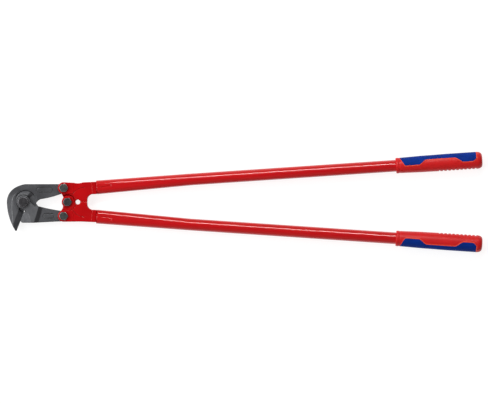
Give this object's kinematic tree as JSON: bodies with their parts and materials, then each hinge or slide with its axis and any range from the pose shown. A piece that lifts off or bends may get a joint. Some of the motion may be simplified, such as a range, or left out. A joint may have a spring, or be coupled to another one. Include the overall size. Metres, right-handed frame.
{
  "type": "rebar cutter",
  "caption": "Long-handled cutter for reinforcing bar and mesh: a hooked jaw and a flat jaw on one pivot, driven by two hinged handles with soft grips.",
  "frame": {"origin": "on the main pivot axis, at the rear end of the pivot bolt, on the plane that the closed tool lies on", "axes": "+X along the closed tool from the jaws to the grips, +Y towards the upper handle, +Z towards the bolt heads"},
  "size_m": [0.9494, 0.2006, 0.034],
  "materials": {
    "jaw_steel": "dark oxide, satin",
    "red_forging": "gloss powder coat",
    "red_tube": "gloss powder coat",
    "red_grip": "satin moulding",
    "blue_inlay": "soft matte",
    "black_bolt": "black oxide",
    "washer_steel": "zinc plated"
  },
  "bodies": {
    "lower_handle": {"lower_yoke": "red_forging", "lower_tube": "red_tube", "lower_grip": "red_grip", "lower_grip_inlay": "blue_inlay", "centre_bolt": "black_bolt", "centre_washer": "washer_steel", "centre_nut": "black_bolt", "lower_jaw_bolt": "black_bolt", "lower_jaw_washer": "washer_steel", "lower_jaw_nut": "black_bolt"},
    "upper_handle": {"upper_yoke": "red_forging", "upper_tube": "red_tube", "upper_grip": "red_grip", "upper_grip_inlay": "blue_inlay", "upper_jaw_bolt": "black_bolt", "upper_jaw_washer": "washer_steel", "upper_jaw_nut": "black_bolt"},
    "lower_jaw": {"lower_jaw": "jaw_steel", "pivot_bolt": "black_bolt", "pivot_washer": "washer_steel", "pivot_nut": "black_bolt"},
    "upper_jaw": {"upper_jaw": "jaw_steel"}
  },
  "joints": [
    {"name": "handle_hinge", "type": "hinge", "parent": "lower_handle", "child": "upper_handle", "pos_m": [0.088, 0, 0.017], "axis": [0, 0, 1], "range_deg": [0, 80]},
    {"name": "lower_jaw_hinge", "type": "hinge", "parent": "lower_handle", "child": "lower_jaw", "pos_m": [0.0804, -0.028, 0.017], "axis": [0, 0, 1], "range_deg": [0, 47.4]},
    {"name": "main_pivot", "type": "hinge", "parent": "lower_jaw", "child": "upper_jaw", "pos_m": [0, 0, 0.017], "axis": [0, 0, -1], "range_deg": [0, 14.7]}
  ],
  "couplings": [
    {"joint": "lower_jaw_hinge", "follows": "handle_hinge", "ratio": 0.5915},
    {"joint": "main_pivot", "follows": "handle_hinge", "ratio": 0.183}
  ]
}
